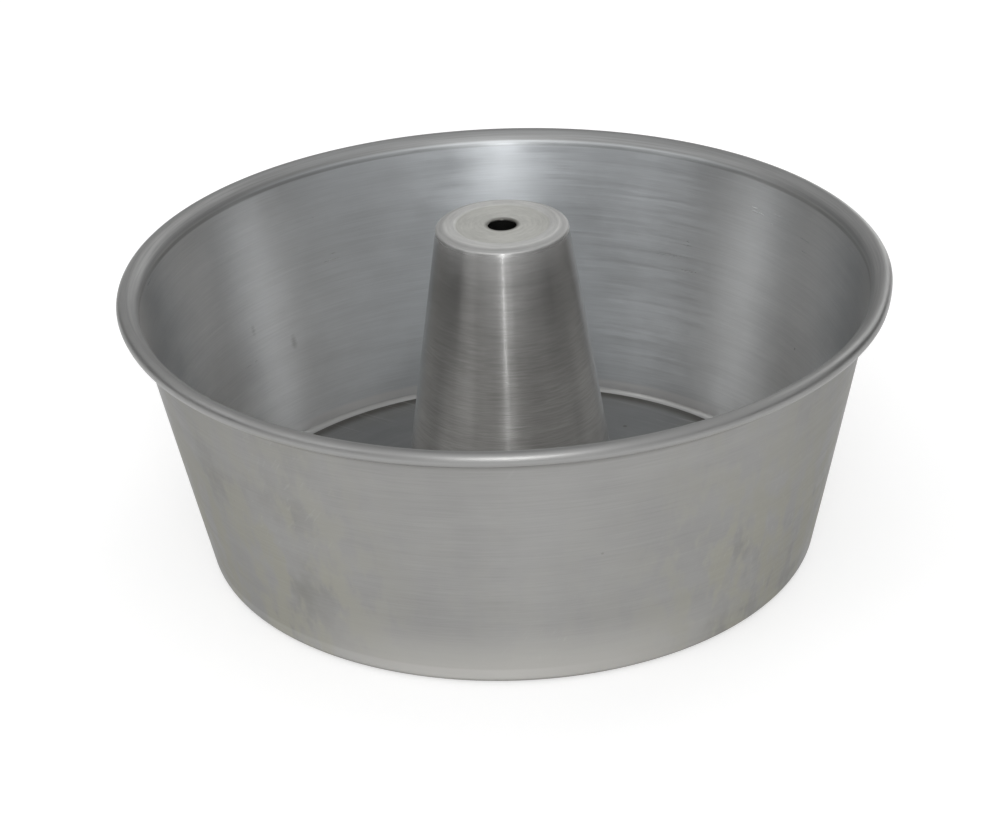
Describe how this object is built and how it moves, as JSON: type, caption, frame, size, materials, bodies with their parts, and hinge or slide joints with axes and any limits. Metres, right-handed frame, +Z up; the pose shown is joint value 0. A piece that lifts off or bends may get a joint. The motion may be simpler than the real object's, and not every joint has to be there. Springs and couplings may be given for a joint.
{
  "type": "tube cake pan",
  "caption": "Round tube cake pan with a flared wall, a rolled rim and a lift-out floor locked to a tapered, vented centre tube.",
  "frame": {"origin": "centre of the base, on the surface that the pan stands on", "axes": "+Z up along the pan's axis; the pan is round, so X and Y are any two directions across it"},
  "size_m": [0.254, 0.254, 0.1123],
  "materials": {
    "wall_aluminium": "spun, satin, lightly stained",
    "plate_aluminium": "rolled, dull satin",
    "tube_aluminium": "spun, fine turning lines",
    "galvanised_wire": "galvanised"
  },
  "bodies": {
    "pan": {"pan_wall": "wall_aluminium", "rim_wire": "galvanised_wire"},
    "insert": {"base_plate": "plate_aluminium", "centre_tube": "tube_aluminium"}
  },
  "joints": [
    {"name": "insert_lift", "type": "slide", "parent": "pan", "child": "insert", "axis": [0, 0, 1], "range_m": [0, 0.12]}
  ]
}
